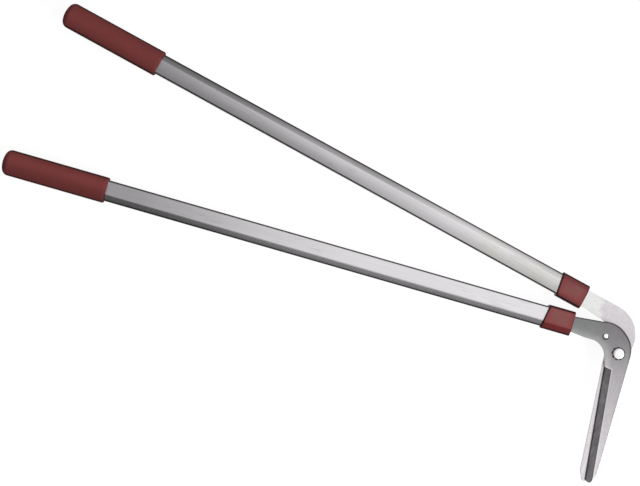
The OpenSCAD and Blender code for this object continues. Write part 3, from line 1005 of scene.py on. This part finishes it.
class SHEARS_OT_grips(bpy.types.Operator):
    """Moulded sleeve grips with a domed end and a mould seam"""

    bl_idname = "shears.grips"
    bl_label = "Grips"

    def execute(self, context):
        s = chosen("grip")
        turns = [2 * math.pi * i / s.sides for i in range(s.sides)]
        play, bore_rim = 0.1 * MM, 0.3 * MM
        bore = rounded(grown(tube_corners(chosen("handle")), play))
        for half in HALVES:
            place = handle_place(half)

            def at(distance, y=0, z=0):
                return place.to_row(s.start + distance, y, z)

            def bore_ring(distance, growth=0.0):
                rays = [ray_to(bore, a) for a in turns]
                return [at(distance, *(q + q.normalized() * growth)) for q in rays]

            def skin_ring(radius, distance):
                points = []
                for a in turns:
                    gap = abs(math.sin(a)) * radius
                    r = radius
                    if radius > 0.8 * s.radius:
                        r -= s.seam_depth * max(0.0, 1 - gap / (s.seam_w / 2))
                    points.append(at(distance, r * math.cos(a), r * math.sin(a)))
                return points

            floor = s.length - s.end_wall
            rings = [[at(floor)], bore_ring(floor), bore_ring(bore_rim), bore_ring(0.0, bore_rim)]
            rings += [skin_ring(r, d) for r, d in self.skin(s)]
            bm = join_rings(rings + [[at(s.length)]], False)
            piece = make_object(half + "_grip_sleeve", bm, grip_finish(half), 35.0)
            seat(piece, half + "_half", "grip_plastic", half + "_grip")
        return {"FINISHED"}

    def skin(self, s):
        """Radius and distance along the outside, with the straight run in short steps."""
        crown_r, crown_round, steps = 0.4 * s.radius, 20 * MM, 12
        outline = rounded([
            (0.0, 0.0, 0.0),
            (s.radius, 0.0, s.lip_round),
            (s.radius, s.length - s.dome, s.end_round),
            (crown_r, s.length, crown_round),
            (0.0, s.length, 0.0),
        ], 14)
        skin = []
        for p in outline[1:-1]:
            start = skin[-1][1] if skin else p.y
            if p.x > s.radius - 1e-6 and p.y - start > s.length / 3:
                skin += [(s.radius, start + (p.y - start) * k / steps) for k in range(1, steps)]
            skin.append((p.x, p.y))
        return skin


class SHEARS_OT_pivot(bpy.types.Operator):
    """Pivot bolt, washers, lock nut and stop pin"""

    bl_idname = "shears.pivot"
    bl_label = "Pivot hardware"

    def execute(self, context):
        s = chosen("pivot")
        bright, dark = bright_finish(), dark_finish()
        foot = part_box("pivot_bolt")[0].z
        under, over = (corner.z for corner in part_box("tooth_washer"))
        # The thread ends inside the nut, and its ridge stays clear of both ends
        thread_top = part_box("lock_nut")[1].z - 1.2 * MM
        bm = join_rings(lathe(self.bolt(s, thread_top), upright(0), SIDES), False)
        self.fit(make_object("pivot_bolt_turned", bm, bright, 30.0), "bright", "pivot_bolt")
        rise = thread_top - foot - 1.6 * s.thread_depth
        ridge = screw_thread().make(
            "pivot_bolt_thread", upright(foot + 1.2 * s.thread_depth), Material=bright,
            Radius=s.bolt_r, Ridge=s.thread_depth, Pitch=s.thread_pitch,
            Turns=rise / s.thread_pitch
        )
        self.fit(ridge, "bright")

        teeth_turn = 0.15
        ring = toothed_ring().make(
            "tooth_washer_ring", Place((1, 1, 1), teeth_turn, (0, 0, -(under + over) / 2)),
            Material=dark, Inner=s.bolt_r + 0.05 * MM, Root=s.washer_r - 0.75 * s.tooth_depth,
            Outer=s.washer_r, Thickness=over - under, Teeth=s.teeth
        )
        self.fit(ring, "dark", "tooth_washer")
        nut, cone = joined_copy("lock_nut"), joined_copy("spring_washer")
        soften(nut, 0.35 * MM, 3)
        soften(cone, 0.15 * MM, 2)
        for node, name, bm, material, slot, sharp in (
            ("lock_nut", "lock_nut_turned", nut, bright, "bright", 25.0),
            ("spring_washer", "spring_washer_coned", cone, dark, "dark", 40.0),
            ("stop_pin", "stop_pin_turned", joined_copy("stop_pin"), bright, "bright", 30.0),
        ):
            self.fit(make_object(name, bm, material, sharp), slot, node)
        repaint("thrust_washer", dark)
        return {"FINISHED"}

    def bolt(self, s, thread_top):
        """Radius and height round the bolt, from its foot to the top of its head."""
        low, high = (corner.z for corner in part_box("pivot_bolt"))
        seat_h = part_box("tooth_washer")[1].z
        core = s.bolt_r - 1.5 * s.thread_depth
        chamfer, shoulder = 0.6 * MM, 0.5 * MM
        head = rounded([
            (0.0, seat_h, 0.0),
            (s.head_r, seat_h, 0.15 * MM),
            (s.head_r, high - 0.45 * MM, 1.2 * MM),
            (0.6 * s.head_r, high, s.head_r / 2),
            (0.0, high, 0.0),
        ], 12)
        profile = [(0.0, low), (core - chamfer, low), (core, low + chamfer), (core, thread_top)]
        profile += [(s.bolt_r, thread_top + shoulder), (s.bolt_r, seat_h)]
        return profile + [(p.x, p.y) for p in head[1:-1]] + [(0.0, high)]

    def fit(self, piece, slot, *nodes):
        seat(piece, "lower_half", slot + "_hardware", *nodes)


class SHEARS_OT_fillings(bpy.types.Operator):
    """Finish of the pieces inside the tubes"""

    bl_idname = "shears.fillings"
    bl_label = "Inner pieces"

    def execute(self, context):
        inner, dark = inner_finish(), dark_finish()
        for half in HALVES:
            repaint(half + "_socket", inner)
            repaint(half + "_end_plug", inner)
            repaint(half + "_tang_pin", dark)
        return {"FINISHED"}


class SHEARS_OT_stage(bpy.types.Operator):
    """Floor, studio light and camera"""

    bl_idname = "shears.stage"
    bl_label = "Stage"

    def execute(self, context):
        s = chosen("stage")
        self.floor(s)
        self.sky()
        lamp = add_object("side_lamp", bpy.data.lights.new("side_lamp", "AREA"))
        lamp.data.shape, lamp.data.size, lamp.data.energy = "DISK", s.lamp_size, s.lamp
        lamp.location = LAMP_PLACE
        aim = Vector(LAMP_AIM) - lamp.location
        lamp.rotation_euler = aim.to_track_quat("-Z", "Y").to_euler()

        camera = add_object("camera", bpy.data.cameras.new("camera"))
        camera.data.lens, camera.data.sensor_fit = s.lens, "HORIZONTAL"
        camera.data.clip_start, camera.data.clip_end = 0.05, 100.0
        camera.location = s.camera
        camera.rotation_euler = (0.0, 0.0, s.roll)
        context.scene.camera = camera
        context.scene.view_settings.view_transform = "Standard"
        return {"FINISHED"}

    def floor(self, s):
        """A pale round floor whose edge curves up into a low wall."""
        bend, steps = 1.5, 12
        profile = [(0.0, 0.0), (2.0, 0.0), (s.floor_r, 0.0)]
        for a in (math.pi / 2 * i / steps for i in range(1, steps + 1)):
            profile.append((s.floor_r + bend * math.sin(a), bend - bend * math.cos(a)))
        profile.append((s.floor_r + bend, s.wall_h))
        bm = join_rings(lathe(profile, upright(0), 64), False)
        f = Finish("pale_floor")
        seen = f.add("ShaderNodeLightPath", out="Is Camera Ray")
        for ray in ("Is Glossy Ray", "Is Transmission Ray"):
            seen = seen.most(f.add("ShaderNodeLightPath", out=ray))
        matt = f.add("ShaderNodeBsdfDiffuse", FLOOR_LIT)
        white = f.add(
            "ShaderNodeAddShader", f.add("ShaderNodeBsdfDiffuse", FLOOR_SEEN),
            f.add("ShaderNodeEmission", WHITE, FLOOR_GLOW)
        )
        f.add("ShaderNodeOutputMaterial", f.add("ShaderNodeMixShader", seen, matt, white))
        floor = make_object("floor", bm, f.material)
        floor.data.flip_normals()

    def sky(self):
        """Soft studio light from above: brighter over the blades, dimmer towards the horizon."""
        world = bpy.data.worlds.new("studio")
        world.use_nodes = True
        bpy.context.scene.world = world
        f = Nodes(world.node_tree)
        x, y, z = f.split(f.add("ShaderNodeTexCoord"))
        sweep = 0.24 + 0.73 * x.rise(-0.166, 0.045)
        edge = 0.08 + 0.80 * y.rise(-0.6, 0.9)
        light = sweep * (edge + (1 - edge) * z.rise(0.22, 0.62))
        f.add("ShaderNodeOutputWorld", f.add("ShaderNodeBackground", WHITE, light))


OPERATORS = (
    SHEARS_OT_blades, SHEARS_OT_handles, SHEARS_OT_collars, SHEARS_OT_grips, SHEARS_OT_pivot,
    SHEARS_OT_fillings, SHEARS_OT_stage,
)


class SHEARS_PT_panel(bpy.types.Panel):
    """Lists the steps that finish the shears"""

    bl_label = "Edging Shears"
    bl_idname = "SHEARS_PT_panel"
    bl_space_type = "VIEW_3D"
    bl_region_type = "UI"
    bl_category = "Shears"

    def draw(self, context):
        for operator in OPERATORS:
            self.layout.operator(operator.bl_idname)


CLASSES = tuple(GROUPS.values()) + OPERATORS + (SHEARS_PT_panel,)


def register():
    for cls in CLASSES:
        bpy.utils.register_class(cls)
    for name, group in GROUPS.items():
        setattr(bpy.types.Scene, "shears_" + name, PointerProperty(type=group))


def unregister():
    for name in GROUPS:
        delattr(bpy.types.Scene, "shears_" + name)
    for cls in reversed(CLASSES):
        bpy.utils.unregister_class(cls)


def main():
    register()
    bpy.ops.shears.blades()
    bpy.ops.shears.handles()
    bpy.ops.shears.collars()
    bpy.ops.shears.grips()
    bpy.ops.shears.pivot()
    bpy.ops.shears.fillings()
    bpy.ops.shears.stage()


if __name__ == "__main__":
    main()
